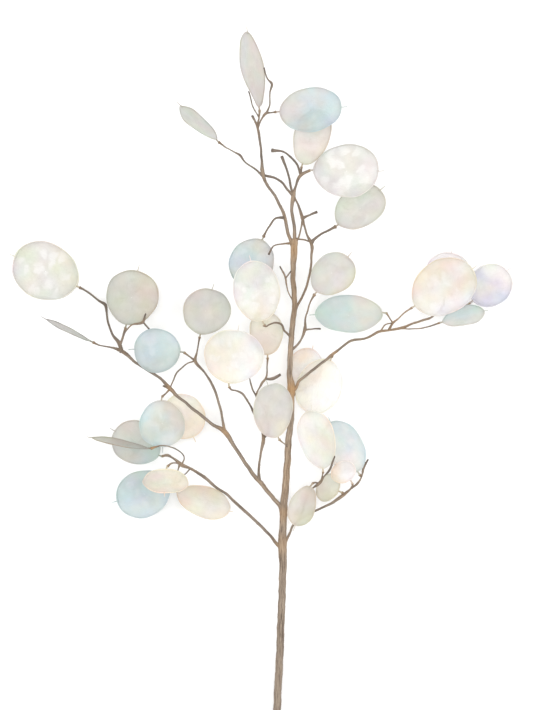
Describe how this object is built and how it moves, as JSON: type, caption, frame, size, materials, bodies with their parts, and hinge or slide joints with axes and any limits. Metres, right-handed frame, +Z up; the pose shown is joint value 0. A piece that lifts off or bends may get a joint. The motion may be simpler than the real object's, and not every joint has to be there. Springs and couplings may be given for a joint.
{
  "type": "honesty branch",
  "caption": "Dried cut branch with forked twigs that bear round papery seed pods, lying on a surface.",
  "frame": {"origin": "on the surface the branch lies on, under the middle of the branch's box", "axes": "+X to the right of the branch seen from above, +Y from the cut end to the crown, +Z up from the surface"},
  "size_m": [0.4312, 0.6812, 0.0673],
  "materials": {
    "bark": "matte",
    "pod_ivory": "satin",
    "pod_sage": "satin",
    "pod_blue": "satin",
    "pod_peach": "satin",
    "pod_lavender": "satin"
  },
  "bodies": {
    "root": {"wood": "bark", "pod_crown_top": "pod_sage", "pod_crown_left": "pod_sage", "pod_crown_front": "pod_blue", "pod_crown_back": "pod_peach", "pod_crown_middle": "pod_ivory", "pod_crown_right": "pod_sage", "pod_upper_back": "pod_blue", "pod_upper_front": "pod_ivory", "pod_upper_right": "pod_sage", "pod_middle_left": "pod_ivory", "pod_middle_back": "pod_peach", "pod_middle_front": "pod_lavender", "pod_middle_low": "pod_peach", "pod_right_inner": "pod_blue", "pod_right_hidden": "pod_ivory", "pod_right_front": "pod_ivory", "pod_right_back": "pod_lavender", "pod_right_floor": "pod_lavender", "pod_right_low": "pod_blue", "pod_left_high": "pod_sage", "pod_left_blue": "pod_blue", "pod_left_olive": "pod_sage", "pod_left_floor": "pod_ivory", "pod_left_edge": "pod_sage", "pod_shoulder_grey": "pod_blue", "pod_shoulder_peach": "pod_peach", "pod_low_teal": "pod_blue", "pod_low_edge": "pod_sage", "pod_low_blue": "pod_blue", "pod_low_striped": "pod_peach", "pod_low_cream": "pod_peach", "pod_low_grey": "pod_sage", "pod_low_green": "pod_sage", "pod_low_pale": "pod_blue", "pod_low_small": "pod_peach", "pod_low_brown": "pod_sage"}
  },
  "joints": []
}
